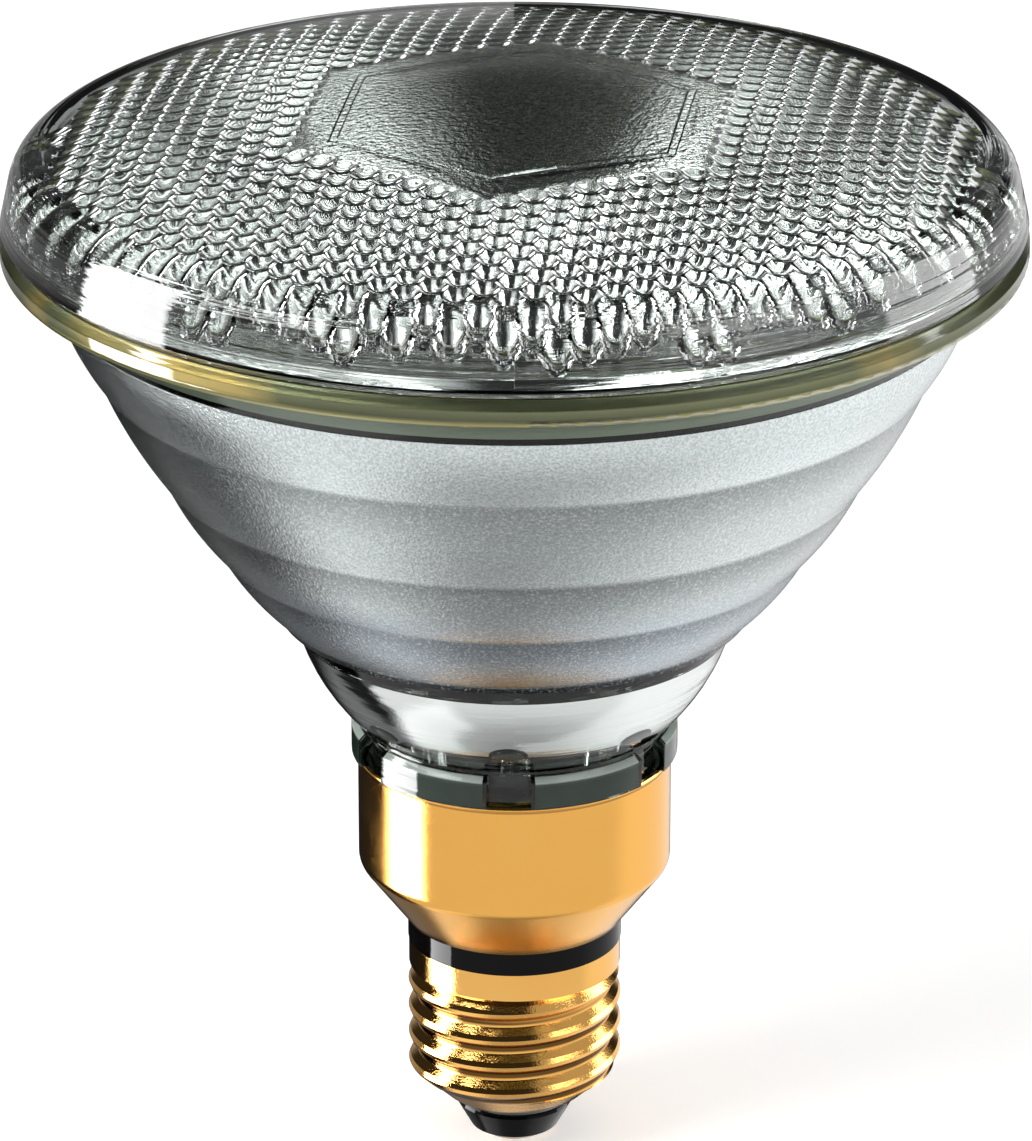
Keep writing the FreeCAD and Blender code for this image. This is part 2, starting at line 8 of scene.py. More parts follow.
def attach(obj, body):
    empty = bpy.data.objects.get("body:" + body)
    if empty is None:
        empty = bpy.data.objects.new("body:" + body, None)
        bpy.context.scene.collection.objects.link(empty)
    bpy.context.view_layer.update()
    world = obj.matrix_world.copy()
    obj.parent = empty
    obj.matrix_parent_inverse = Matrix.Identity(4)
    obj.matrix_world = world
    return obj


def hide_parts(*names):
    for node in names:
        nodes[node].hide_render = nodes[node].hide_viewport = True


# Pressed glass spotlight bulb, cap down. The frame is in metres, and the sizes below are in millimetres.
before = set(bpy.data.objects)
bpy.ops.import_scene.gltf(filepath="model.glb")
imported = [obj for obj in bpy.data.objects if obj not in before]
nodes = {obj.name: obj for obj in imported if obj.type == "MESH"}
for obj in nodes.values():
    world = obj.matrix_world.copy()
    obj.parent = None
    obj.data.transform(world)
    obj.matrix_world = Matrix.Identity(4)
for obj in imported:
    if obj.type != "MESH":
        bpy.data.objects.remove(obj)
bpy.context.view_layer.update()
mm = 0.001
weld = 0.004   # points closer than this become one
scene = bpy.context.scene
print("frame loaded,", len(nodes), "nodes")


def addProfile(bm, points):
    # an open line of edges through (radius, height) points
    verts = [bm.verts.new((r * mm, 0, z * mm)) for r, z in points]
    edges = [bm.edges.new(pair) for pair in zip(verts, verts[1:])]
    return verts + edges


def spinProfile(bm, points, steps=180):
    # turns the line round the lamp's axis
    geom = addProfile(bm, points)
    bmesh.ops.spin(bm, geom=geom, cent=(0, 0, 0), axis=(0, 0, 1), dvec=(0, 0, 0),
                   angle=math.tau, steps=steps, use_merge=True, use_duplicate=False)


def arcLine(start, end, bulge, count):
    # points on an arc that stands out from its chord, to the right on the way from start to end
    chord = math.dist(start, end)
    radius = (chord * chord / 4 + bulge * bulge) / (2 * bulge)
    half = math.asin(min(1, chord / 2 / radius))
    run = ((end[0] - start[0]) / chord, (end[1] - start[1]) / chord)
    out = (run[1], -run[0])
    points = []
    for k in range(count + 1):
        turn = -half + 2 * half * k / count
        along = radius * math.sin(turn) + chord / 2
        up = radius * math.cos(turn) - radius * math.cos(half)
        points.append((start[0] + run[0] * along + out[0] * up, start[1] + run[1] * along + out[1] * up))
    return points


def linked(items, kind):
    # the edges or faces that the items share, each once and in a fixed order
    return list(dict.fromkeys(found for item in items for found in getattr(item, kind)))


def finishPiece(bm, name, replaced, materials, sharp=35):
    bmesh.ops.remove_doubles(bm, verts=bm.verts, dist=weld * mm)
    bmesh.ops.recalc_face_normals(bm, faces=bm.faces)
    openEdges = sum(not e.is_manifold for e in bm.edges)
    mesh = bpy.data.meshes.new(name)
    bm.to_mesh(mesh)
    bm.free()
    mesh.polygons.foreach_set("use_smooth", [True] * len(mesh.polygons))
    mesh.set_sharp_from_angle(angle=math.radians(sharp))
    piece = bpy.data.objects.new(name, mesh)
    scene.collection.objects.link(piece)
    for look in materials:
        mesh.materials.append(look)
    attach(piece, "root")
    if replaced:
        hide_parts(*replaced)
    print("piece", name, len(mesh.polygons), "faces,", openEdges, "open edges")
    return piece


# The lens and the bands stand before the materials, because their patterns follow the shapes.
lensShape = {
    "top": 136.0, "shoulderRadius": 59.7, "shoulderHeight": 128.9,   # the dome runs through these
    "domeRings": (50, 44, 37, 30, 22, 14, 7, 3, 0), "steps": 180,
    "shoulderLow": (60.15, 125.6), "shoulderTop": (55.4, 129.86), "shoulderBulge": 1.15,
    "sideRadius": 61.1, "chamfer": 0.9, "seatRadius": 57.2, "seatHeight": 120.35,
    "thickness": 4.8, "dropStart": 48.5, "drop": 3.4,   # the inside curves down from dropStart
    "innerRadius": 57.0, "innerDrop": 0.6, "innerRound": 0.03,
    "pitch": 3.33, "turn": -7.4, "fieldRadius": 56.5, "plainRows": 9, "bumpHeight": 1.4,
    "edgeRadius": 56.75, "edgeSides": 90, "sliver": 0.6, "cellWeld": 0.02,
    "edgeReach": 0.16, "crease": 0.3,   # points this near a lone bump's edge are set on it
    "cuts": 2, "fineRadius": 51.5, "middleCuts": 11,
    "lineRadius": 22.7, "lineWidth": 1.1, "lineSlope": 0.2, "lineHeight": 0.3, "loopGap": 1.0,
}
cellCorner = lensShape["pitch"] / math.sqrt(3)   # from a bump's middle to its corner
sideShare = math.cos(math.pi / 6)   # from a hexagon's corner radius to the middle of its side
linePlace = lensShape["lineRadius"] * sideShare
bandEdges = (72.3, 80.8, 90.2, 103.2, 112.7)   # heights of the creases between the satin bands


class Tree:
    # adds nodes to a tree, with numbers or sockets as their inputs
    def __init__(self, nodeTree):
        self.tree = nodeTree

    def add(self, kind, inputs=None, **settings):
        node = self.tree.nodes.new(kind)
        for key, value in settings.items():
            setattr(node, key, value)
        for key, value in (inputs or {}).items():
            if isinstance(value, bpy.types.NodeSocket):
                self.join(value, node.inputs[key])
            else:
                node.inputs[key].default_value = value
        return node

    def join(self, socket, target):
        self.tree.links.new(socket, target)

    def use(self, group, where, **values):
        return self.add("ShaderNodeGroup", {"Vector": where, **values}, node_tree=group).outputs

    def math(self, operation, *values):
        return self.add("ShaderNodeMath", dict(enumerate(values)), operation=operation).outputs[0]

    def times(self, first, *others):
        for value in others:
            first = self.math("MULTIPLY", first, value)
        return first

    def plus(self, first, *others):
        for value in others:
            first = self.math("ADD", first, value)
        return first

    def rest(self, value):
        return self.math("SUBTRACT", 1.0, value)

    def spread(self, value, low, high, toLow, toHigh, smooth=False):
        kind = "SMOOTHSTEP" if smooth else "LINEAR"
        return self.add("ShaderNodeMapRange", {0: value, 1: low, 2: high, 3: toLow, 4: toHigh},
                        interpolation_type=kind).outputs[0]

    def zone(self, value, low, high, toLow=0.0, toHigh=1.0):
        # as spread, between two places given in millimetres
        return self.spread(value, low * mm, high * mm, toLow, toHigh)

    def noise(self, vector, scale, detail=3.0, rough=0.5):
        return self.add("ShaderNodeTexNoise", {"Vector": vector, "Scale": scale, "Detail": detail,
                                               "Roughness": rough}).outputs[0]

    def ramp(self, value, stops):
        node = self.add("ShaderNodeValToRGB", {0: value})
        elements = node.color_ramp.elements
        while len(elements) < len(stops):
            elements.new(0.5)
        for element, (place, colour) in zip(elements, stops):
            element.position = place
            element.color = colour
        return node.outputs[0]

    def mixColour(self, factor, first, second, blend="MIX"):
        return self.add("ShaderNodeMix", {0: factor, 6: first, 7: second},
                        data_type="RGBA", blend_type=blend).outputs[2]

    def bump(self, shader, height, strength, distance):
        node = self.add("ShaderNodeBump", {"Strength": strength, "Distance": distance * mm, "Height": height})
        self.join(node.outputs[0], shader.inputs["Normal"])


def newMaterial(name):
    look = bpy.data.materials.new(name)
    look.use_nodes = True
    look.node_tree.nodes.clear()
    tree = Tree(look.node_tree)
    shader = tree.add("ShaderNodeBsdfPrincipled")
    tree.add("ShaderNodeOutputMaterial", {"Surface": shader.outputs[0]})
    where = tree.add("ShaderNodeTexCoord").outputs["Object"]
    return look, tree, shader, where


def newGroup(name, numbers, results):
    # a shared group that takes a place and some numbers, and gives numbers
    group = bpy.data.node_groups.new(name, "ShaderNodeTree")
    group.interface.new_socket(name="Vector", in_out="INPUT", socket_type="NodeSocketVector")
    for label in numbers:
        group.interface.new_socket(name=label, in_out="INPUT", socket_type="NodeSocketFloat")
    for label in results:
        group.interface.new_socket(name=label, in_out="OUTPUT", socket_type="NodeSocketFloat")
    tree = Tree(group)
    return group, tree, tree.add("NodeGroupInput"), tree.add("NodeGroupOutput")


def grainGroup():
    # fine grain and slow clouds, for satin, brass and glass alike
    group, tree, source, result = newGroup("grain", ["Fine", "Slow"], ["Height", "Speck", "Cloud"])
    fine = tree.noise(source.outputs["Vector"], source.outputs["Fine"], 2.0, 0.6)
    slow = tree.noise(source.outputs["Vector"], source.outputs["Slow"], 3.0, 0.5)
    tree.join(fine, result.inputs["Height"])
    tree.join(tree.spread(fine, 0.56, 0.68, 0.0, 1.0), result.inputs["Speck"])
    tree.join(slow, result.inputs["Cloud"])
    return group


def turnedGroup():
    # lines that run round the axis, as pressing and spinning leave them, and the point's own place
    group, tree, source, result = newGroup("turned", ["Pitch"], ["Height", "Radius", "Rise", "Across", "Along"])
    wander = 0.0006   # how far the lines drift on their way round
    across, along, rise = tree.add("ShaderNodeSeparateXYZ", {0: source.outputs["Vector"]}).outputs
    radius = tree.math("SQRT", tree.plus(tree.times(across, across), tree.times(along, along)))
    around = tree.times(tree.math("ARCTAN2", across, along), wander)
    lines = tree.add("ShaderNodeCombineXYZ", {0: radius, 1: rise, 2: around}).outputs[0]
    tree.join(tree.noise(lines, source.outputs["Pitch"], 2.0, 0.5), result.inputs["Height"])
    tree.join(radius, result.inputs["Radius"])
    tree.join(rise, result.inputs["Rise"])
    tree.join(across, result.inputs["Across"])
    tree.join(along, result.inputs["Along"])
    return group


lensFinish = {
    "inside": (133.2, 132.8),   # the lens's inside lies under these heights
    "waves": 0.1, "stippleScale": 1400.0, "stippleDepth": 1.1, "stippleEnd": (23.4, 24.2),
    "flowRadii": (54.8, 57.0), "flowDepth": 1.6,
    # the row below sets the painted shade along the raised line's edges
    "edgeAt": 0.85, "edgeWidth": (0.07, 0.15), "edgeDark": 0.9, "edgeShadeColour": (0.05, 0.07, 0.06, 1),
}


def hexagonGroup():
    # how far the point lies from the axis, measured to the middle of the hexagon's sides,
    # and whether it is on the lens's inside
    group, tree, source, result = newGroup("hexagon", [], ["Distance", "Inside"])
    farthest = 0.0
    for k in range(3):
        a = math.radians(lensShape["turn"] + 30 + 60 * k)
        way = (math.sin(a), -math.cos(a), 0)
        along = tree.add("ShaderNodeVectorMath", {0: source.outputs["Vector"], 1: way},
                         operation="DOT_PRODUCT").outputs["Value"]
        farthest = tree.math("MAXIMUM", farthest, tree.math("ABSOLUTE", along))
    rise = tree.add("ShaderNodeSeparateXYZ", {0: source.outputs["Vector"]}).outputs[2]
    tree.join(farthest, result.inputs["Distance"])
    tree.join(tree.zone(rise, *lensFinish["inside"]), result.inputs["Inside"])
    return group


grain = grainGroup()
turned = turnedGroup()
hexagon = hexagonGroup()


def metalLook(name, dark, light, roughness, fine=2500.0, slow=90.0, bump=0.05, lines=0.0, shade=None):
    look, tree, shader, where = newMaterial(name)
    out = tree.use(grain, where, Fine=fine, Slow=slow)
    ring = tree.use(turned, where, Pitch=1400.0)
    colour = tree.mixColour(out["Cloud"], dark, light)
    if shade:
        colour = shade(tree, colour, out, ring)
    tree.join(colour, shader.inputs["Base Color"])
    tree.join(tree.spread(out["Cloud"], 0.3, 0.7, *roughness), shader.inputs["Roughness"])
    shader.inputs["Metallic"].default_value = 1.0
    tree.bump(shader, tree.plus(out["Height"], tree.times(ring["Height"], lines)), bump, 0.1)
    return look


def glossLook(name, dark, light, roughness=(0.03, 0.07), level=0.25):
    look, tree, shader, where = newMaterial(name)
    out = tree.use(grain, where, Fine=1200.0, Slow=120.0)
    tree.join(tree.mixColour(out["Cloud"], dark, light), shader.inputs["Base Color"])
    tree.join(tree.spread(out["Cloud"], 0.3, 0.7, *roughness), shader.inputs["Roughness"])
    shader.inputs["Specular IOR Level"].default_value = level
    tree.bump(shader, out["Height"], 0.02, 0.2)
    return look


def glassLook(name, tint, deep, roughness=0.0, bump=0.02, colour=None, relief=None):
    look, tree, shader, where = newMaterial(name)
    out = tree.use(grain, where, Fine=900.0, Slow=60.0)
    ring = tree.use(turned, where, Pitch=900.0)
    base = tree.mixColour(out["Cloud"], tint, deep)
    if colour:
        base = colour(tree, base, where, ring)
    tree.join(base, shader.inputs["Base Color"])
    tree.join(tree.spread(out["Height"], 0.3, 0.7, roughness, roughness + 0.015), shader.inputs["Roughness"])
    shader.inputs["Transmission Weight"].default_value = 1.0
    shader.inputs["IOR"].default_value = 1.5
    height = relief(tree, out["Cloud"], where, ring) if relief else out["Cloud"]
    tree.bump(shader, height, bump, 0.3)
    return look


def lensRelief(tree, height, where, ring):
    # stippled middle inside the hexagon, smooth field, and flow lines round the shoulder
    place = tree.use(hexagon, where)
    middle = tree.times(tree.zone(place["Distance"], *lensFinish["stippleEnd"], 1.0, 0.0), place["Inside"])
    stipple = tree.times(tree.noise(where, lensFinish["stippleScale"], 2.0, 0.6), lensFinish["stippleDepth"])
    shoulder = tree.zone(ring["Radius"], *lensFinish["flowRadii"])
    flow = tree.times(ring["Height"], shoulder, lensFinish["flowDepth"])
    return tree.plus(tree.times(height, lensFinish["waves"]), tree.times(middle, stipple), flow)


def lensEdgeShade(tree, base, where, ring):
    # painted shade: the edges of the raised line are painted dark on the lens's inside
    place = tree.use(hexagon, where)
    away = tree.math("ABSOLUTE", tree.math("SUBTRACT", place["Distance"], linePlace * mm))
    edge = lensShape["lineWidth"] / 2 * lensFinish["edgeAt"] * mm
    away = tree.math("ABSOLUTE", tree.math("SUBTRACT", away, edge))
    dark = tree.zone(away, *lensFinish["edgeWidth"], lensFinish["edgeDark"], 0.0)
    return tree.mixColour(tree.times(dark, place["Inside"]), base, lensFinish["edgeShadeColour"])


def bodyTintAndHighlight(tree, base, where, ring):
    # green in the thick foot, clear in the neck, slightly olive in the flange, with a clear stripe at the
    # foot's rounded edge where the foot film's painted highlight shows through
    return tree.ramp(tree.zone(ring["Rise"], 50, 120), [
        (0.0, (0.3, 0.42, 0.33, 1)), (0.074, (0.35, 0.47, 0.38, 1)),
        (0.08, (0.86, 0.92, 0.88, 1)), (0.1, (0.5, 0.6, 0.53, 1)), (0.17, (0.93, 0.96, 0.95, 1)),
        (0.9, (0.92, 0.95, 0.92, 1)), (1.0, (0.86, 0.87, 0.74, 1))])


def bodyRelief(tree, height, where, ring):
    return tree.plus(tree.times(height, 0.3), tree.times(ring["Height"], 0.5))


def rimTintAndPaintedLight(tree, colour, out, ring):
    # painted view through the glass: grey-green under the collar, then a pale line that is a painted highlight,
    # then olive with golden patches in the flange that are a painted reflection of the brass cap
    tint = tree.ramp(tree.zone(ring["Rise"], 112, 120), [
        (0.0, (0.16, 0.2, 0.15, 1)), (0.4, (0.3, 0.36, 0.28, 1)), (0.6, (0.5, 0.5, 0.24, 1)),
        (0.68, (0.72, 0.66, 0.3, 1)), (0.74, (0.14, 0.15, 0.07, 1)),
        (0.86, (0.27, 0.29, 0.16, 1)), (1.0, (0.36, 0.4, 0.28, 1))])
    # the golden patches are a painted reflection of the brass cap
    brassReflection = tree.times(tree.spread(out["Cloud"], 0.5, 0.62, 0.0, 1.0),
                         tree.zone(ring["Rise"], 117.4, 118.2, 0.0, 0.8))
    return tree.mixColour(brassReflection, tint, (0.78, 0.58, 0.2, 1))


satinTones = {
    # under is painted shadow on the step below the last band; bands, middle, crease and topCrease are painted
    # shade, darker on the lower bands and under each crease
    "low": 70.0, "high": 114.0, "under": [(70.0, 0.035), (72.0, 0.035), (72.6, 0.6)],
    "bands": (0.66, 0.76, 0.86, 1.0), "middle": 0.9, "crease": 0.52, "topCrease": 0.95,
    # below coldBelow the bands are painted colder against the brass skirt's warm reflection
    "cold": (0.94, 1.1), "plain": (0.97, 1.02), "coldBelow": 82,   # shares of red and blue
    "grain": (0.78, 1.04), "glint": 0.3,
}


def satinPaintedShade(tree, colour, out, ring):
    # painted shade: each band is darkest just under the crease above it and the lower bands are darker, and the
    # step below the last one is nearly black as painted shadow; the bottom of the bell is painted bluer against
    # the brass's warm reflection, and pale specks are painted glints
    low, high = satinTones["low"], satinTones["high"]
    stops = list(satinTones["under"])
    for bottom, top, tone in zip(bandEdges, bandEdges[1:], satinTones["bands"]):
        crease = satinTones["topCrease" if top == bandEdges[-1] else "crease"]
        stops.append((bottom + 0.5, tone))
        stops.append((top - 0.5 * (top - bottom), tone * satinTones["middle"]))
        stops.append((top - 0.2, tone * crease))
    places = []
    for z, tone in stops:
        red, blue = satinTones["cold" if z < satinTones["coldBelow"] else "plain"]
        places.append(((z - low) / (high - low), (tone * red, tone, tone * blue, 1)))
    shaded = tree.mixColour(1.0, colour, tree.ramp(tree.zone(ring["Rise"], low, high), places), "MULTIPLY")
    grainy = tree.spread(out["Height"], 0.35, 0.6, *satinTones["grain"])
    shaded = tree.mixColour(1.0, shaded, grainy, "MULTIPLY")
    return tree.mixColour(tree.times(out["Speck"], satinTones["glint"]), shaded, (0.97, 0.99, 0.98, 1))


def skirtPaintedShade(tree, colour, out, ring):
    # painted shade: bright outside, painted dark inside, and a dark line at the bend that is a painted
    # reflection
    outside = tree.zone(ring["Radius"], 11.0, 11.6)
    wall = tree.zone(ring["Radius"], 18.9, 19.0)
    cone = tree.zone(ring["Rise"], 41.0, 40.0)
    bright = tree.times(outside, tree.math("MAXIMUM", wall, cone))
    # the dark line is a painted reflection
    line = tree.rest(tree.math("ABSOLUTE", tree.zone(ring["Rise"], 51.35, 51.75, -1.0, 1.0)))
    line = tree.times(tree.math("MAXIMUM", line, 0.0), 0.75)
    colour = tree.mixColour(line, colour, (0.2, 0.1, 0.03, 1))
    return tree.mixColour(bright, (0.05, 0.035, 0.02, 1), colour)


threadShape = {"start": 4.58, "pitch": 3.629, "top": 21.0,
               "rise": (0.44, 0.5), "fall": (0.76, 0.84), "flankShade": 0.9}   # rise and fall are shares of a turn


def threadPaintedShade(tree, colour, out, ring):
    # painted shade: the lower flanks of the thread are painted dark
    angle = tree.math("DIVIDE", tree.math("ARCTAN2", ring["Along"], ring["Across"]), math.tau)
    height = tree.math("SUBTRACT", ring["Rise"], threadShape["start"] * mm)
    turns = tree.math("DIVIDE", height, threadShape["pitch"] * mm)
    phase = tree.math("FRACT", tree.math("SUBTRACT", turns, angle))
    flank = tree.times(tree.spread(phase, *threadShape["rise"], 0.0, 1.0),
                       tree.spread(phase, *threadShape["fall"], 1.0, 0.0),
                       tree.zone(ring["Rise"], threadShape["top"], threadShape["top"] - 1))
    return tree.mixColour(tree.times(flank, threadShape["flankShade"]), colour, (0.06, 0.025, 0.006, 1))


def cementLook():
    look, tree, shader, where = newMaterial("cement")
    out = tree.use(grain, where, Fine=1500.0, Slow=200.0)
    colour = tree.mixColour(out["Height"], (0.5, 0.47, 0.4, 1), (0.72, 0.69, 0.6, 1))
    tree.join(colour, shader.inputs["Base Color"])
    tree.join(tree.spread(out["Cloud"], 0.3, 0.7, 0.8, 0.95), shader.inputs["Roughness"])
    tree.bump(shader, out["Height"], 0.6, 0.2)
    return look


def footLookWithHighlight():
    # dark green, with a pale line at the foot's rounded edge that is a painted highlight
    look, tree, shader, where = newMaterial("footFilm")
    out = tree.use(grain, where, Fine=900.0, Slow=160.0)
    ring = tree.use(turned, where, Pitch=700.0)
    dark = tree.mixColour(out["Cloud"], (0.025, 0.04, 0.03, 1), (0.13, 0.18, 0.14, 1))
    line = tree.zone(ring["Rise"], 55.5, 55.7)
    tree.join(tree.mixColour(line, dark, (0.85, 0.88, 0.86, 1)), shader.inputs["Base Color"])
    tree.join(tree.spread(out["Height"], 0.3, 0.7, 0.3, 0.5), shader.inputs["Roughness"])
    tree.bump(shader, out["Height"], 0.3, 0.2)
    return look


looks = {
    "lensGlass": glassLook("lensGlass", (0.93, 0.96, 0.945, 1), (0.9, 0.94, 0.92, 1), bump=0.5,
                           colour=lensEdgeShade, relief=lensRelief),
    "bodyGlass": glassLook("bodyGlass", (0.8, 0.9, 0.85, 1), (0.7, 0.8, 0.75, 1), bump=0.25,
                           colour=bodyTintAndHighlight, relief=bodyRelief),
    "clearGlass": glassLook("clearGlass", (0.95, 0.97, 0.96, 1), (0.9, 0.94, 0.92, 1)),
    "darkGlass": glossLook("darkGlass", (0.01, 0.016, 0.012, 1), (0.03, 0.045, 0.035, 1), level=0.5),
    "sealGlass": glossLook("sealGlass", (0.03, 0.03, 0.02, 1), (0.08, 0.07, 0.03, 1)),
    "mirrorCoat": metalLook("mirrorCoat", (0.88, 0.9, 0.89, 1), (0.95, 0.96, 0.955, 1), (0.01, 0.03),
                            bump=0.03),
    "rimFilm": metalLook("rimFilm", (0.3, 0.3, 0.2, 1), (0.4, 0.4, 0.3, 1), (0.3, 0.4), fine=1500.0, slow=45.0,
                         bump=0.3, lines=0.6, shade=rimTintAndPaintedLight),
    "satinCoat": metalLook("satinCoat", (0.84, 0.88, 0.865, 1), (0.9, 0.94, 0.925, 1), (0.2, 0.25),
                           fine=2900.0, slow=70.0, bump=0.6, shade=satinPaintedShade),
    "skirtBrass": metalLook("skirtBrass", (0.92, 0.46, 0.1, 1), (0.96, 0.52, 0.13, 1), (0.1, 0.16),
                            fine=4200.0, bump=0.16, lines=0.3, shade=skirtPaintedShade),
    "capBrass": metalLook("capBrass", (0.9, 0.45, 0.1, 1), (0.97, 0.56, 0.17, 1), (0.06, 0.11),
                          fine=3600.0, bump=0.22, lines=0.4, shade=threadPaintedShade),
    "blackGlass": glossLook("blackGlass", (0.001, 0.001, 0.0012, 1), (0.004, 0.0035, 0.004, 1), level=0.12),
    "solder": metalLook("solder", (0.5, 0.5, 0.5, 1), (0.7, 0.7, 0.69, 1), (0.25, 0.45), fine=1500.0, bump=0.4),
    "nickel": metalLook("nickel", (0.5, 0.47, 0.42, 1), (0.6, 0.57, 0.52, 1), (0.18, 0.3), bump=0.1),
    "tungsten": metalLook("tungsten", (0.2, 0.2, 0.21, 1), (0.3, 0.3, 0.31, 1), (0.3, 0.45), bump=0.2),
    "copper": metalLook("copper", (0.7, 0.32, 0.17, 1), (0.8, 0.4, 0.22, 1), (0.2, 0.35), bump=0.1),
    "cement": cementLook(),
    "footFilm": footLookWithHighlight(),
}
nodeLooks = {
    "contact_solder": "solder", "contact_plate": "capBrass", "cap_insulator": "blackGlass",
    "screw_shell": "capBrass", "cap_ring": "blackGlass", "cap_skirt": "skirtBrass", "cement_ring": "cement",
    "reflector": "bodyGlass", "exhaust_tube": "clearGlass", "rim_seal": "sealGlass",
    "ferrule_left": "nickel", "ferrule_right": "nickel", "lead_post_left": "nickel",
    "lead_post_right": "nickel", "filament_coil": "tungsten", "support_bead": "clearGlass",
    "filament_anchor": "tungsten", "outer_lead_centre": "copper", "outer_lead_side": "copper",
    "side_solder": "solder", "fuse_sleeve": "clearGlass",
}
for nodeName, lookName in nodeLooks.items():
    for holder in nodes[nodeName].material_slots:
        holder.material = looks[lookName]
print("materials given to the nodes")


def domeHeight(radius, lowered):
    sag = lensShape["top"] - lensShape["shoulderHeight"]
    dome = (lensShape["shoulderRadius"] ** 2 + sag ** 2) / (2 * sag)
    return lensShape["top"] - lowered - dome + math.sqrt(dome ** 2 - radius ** 2)


def innerHeight(radius):
    # the inside follows the dome, then curves down to the seat
    part = max(0.0, radius - lensShape["dropStart"]) / (lensShape["innerRadius"] - lensShape["dropStart"])
    return domeHeight(radius, lensShape["thickness"]) - lensShape["drop"] * part ** 2


def bumpCells():
    # the middles of the bumps, and of the empty cells beside them that the bumps' round edges reach into
    first = math.radians(lensShape["turn"])
    second = first + math.pi / 3
    pitch = lensShape["pitch"]
    reach = int(lensShape["fieldRadius"] / pitch) + 3
    bumps, spares = [], []
    for i in range(-reach, reach + 1):
        for j in range(-reach, reach + 1):
            x = pitch * (i * math.sin(first) + j * math.sin(second))
            y = -pitch * (i * math.cos(first) + j * math.cos(second))
            away = math.hypot(x, y)
            row = max(abs(i), abs(j), abs(i + j))
            if row >= lensShape["plainRows"] and away <= lensShape["fieldRadius"] - pitch / 2:
                bumps.append((x, y))
            elif row >= lensShape["plainRows"] - 1 and away <= lensShape["edgeRadius"] + pitch:
                spares.append((x, y))
    return bumps, spares


def hexDistance(x, y):
    # how far out the point lies, measured to the middle of a hexagon's side
    best = 0
    for k in range(6):
        a = math.radians(lensShape["turn"] + 30 + 60 * k)
        best = max(best, x * math.sin(a) - y * math.cos(a))
    return best


def cellField(bm, middles, spin):
    # close-packed hexagons that end on a circle, divided into facets that are finer near its edge
    shape = lensShape
    for x, y in middles:
        bmesh.ops.create_circle(bm, cap_ends=True, segments=6, radius=cellCorner * mm,
                                matrix=Matrix.Translation((x * mm, y * mm, 0)) @ spin)
    bmesh.ops.remove_doubles(bm, verts=bm.verts, dist=shape["cellWeld"] * mm)
    sides = shape["edgeSides"]
    for k in range(sides):
        angle = math.tau * (k + 0.5) / sides
        way = Vector((math.cos(angle), math.sin(angle), 0))
        bmesh.ops.bisect_plane(bm, geom=bm.verts[:] + bm.edges[:] + bm.faces[:], dist=0.01 * mm,
                               plane_co=way * shape["edgeRadius"] * mm * math.cos(math.pi / sides),
                               plane_no=way, clear_outer=True)
    slivers = [f for f in bm.faces if f.calc_area() < shape["sliver"] * mm * mm]
    bmesh.ops.delete(bm, geom=slivers, context="FACES")
    bmesh.ops.poke(bm, faces=bm.faces)
    bmesh.ops.subdivide_edges(bm, edges=bm.edges, cuts=shape["cuts"], use_grid_fill=True)
    fine = [f for f in bm.faces if f.calc_center_median().length > shape["fineRadius"] * mm]
    bmesh.ops.subdivide_edges(bm, edges=linked(fine, "edges"), cuts=1, use_grid_fill=True)


def liftBumps(bm, bumps):
    # gives each point its height above the plain inside, by its distance from the nearest bump's middle
    pitch = lensShape["pitch"]
    lift = bm.verts.layers.float.new("lift")
    cells = {}
    for x, y in bumps:
        cells.setdefault((round(x / pitch), round(y / pitch)), []).append((x, y))
    for v in bm.verts:
        x, y = v.co.x / mm, v.co.y / mm
        i, j = round(x / pitch), round(y / pitch)
        near = [c for di in (-1, 0, 1) for dj in (-1, 0, 1) for c in cells.get((i + di, j + dj), [])]
        near.sort(key=lambda c: math.dist((x, y), c))
        gap = math.dist((x, y), near[0]) if near else pitch
        spare = math.dist((x, y), near[1]) - gap if len(near) > 1 else pitch
        if abs(gap - cellCorner) < lensShape["edgeReach"] and spare > lensShape["crease"]:
            centre = Vector((near[0][0], near[0][1], 0)) * mm
            v.co = centre + (v.co - centre) * (cellCorner / gap)
            gap = cellCorner
        v[lift] = lensShape["bumpHeight"] * max(0.0, 1 - (gap / cellCorner) ** 2)
    return lift


def fillPlain(bm, spin):
    # the plain glass round the field and in its middle, with hexagon loops at both sides of the raised line
    shape = lensShape
    rims = {True: [], False: []}
    for e in bm.edges:
        if e.is_boundary:
            rims[(e.verts[0].co + e.verts[1].co).length / 2 > 40 * mm].append(e)
    ring = bmesh.ops.create_circle(bm, cap_ends=False, segments=shape["steps"],
                                   radius=shape["innerRadius"] * mm)["verts"]
    bmesh.ops.triangle_fill(bm, edges=rims[True] + linked(ring, "link_edges"), use_beauty=True,
                            use_dissolve=False)
    loop = bmesh.ops.create_circle(bm, cap_ends=True, segments=6,
                                   radius=(shape["lineRadius"] + shape["loopGap"]) * mm,
                                   matrix=spin @ Matrix.Rotation(math.radians(30), 4, "Z"))["verts"]
    middle = linked(loop, "link_faces")
    bmesh.ops.triangle_fill(bm, edges=rims[False] + linked(loop, "link_edges"), use_beauty=True,
                            use_dissolve=False)
    width, slope = shape["lineWidth"], shape["lineSlope"]
    for step in (shape["loopGap"] * sideShare - width / 2, slope, width - 2 * slope, slope):
        bmesh.ops.inset_region(bm, faces=middle, thickness=step * mm, use_even_offset=True)
    inside = bmesh.ops.poke(bm, faces=middle)["faces"]
    bmesh.ops.subdivide_edges(bm, edges=linked(inside, "edges"), cuts=shape["middleCuts"], use_grid_fill=True)
    bmesh.ops.triangulate(bm, faces=[f for f in bm.faces if len(f.verts) > 4])


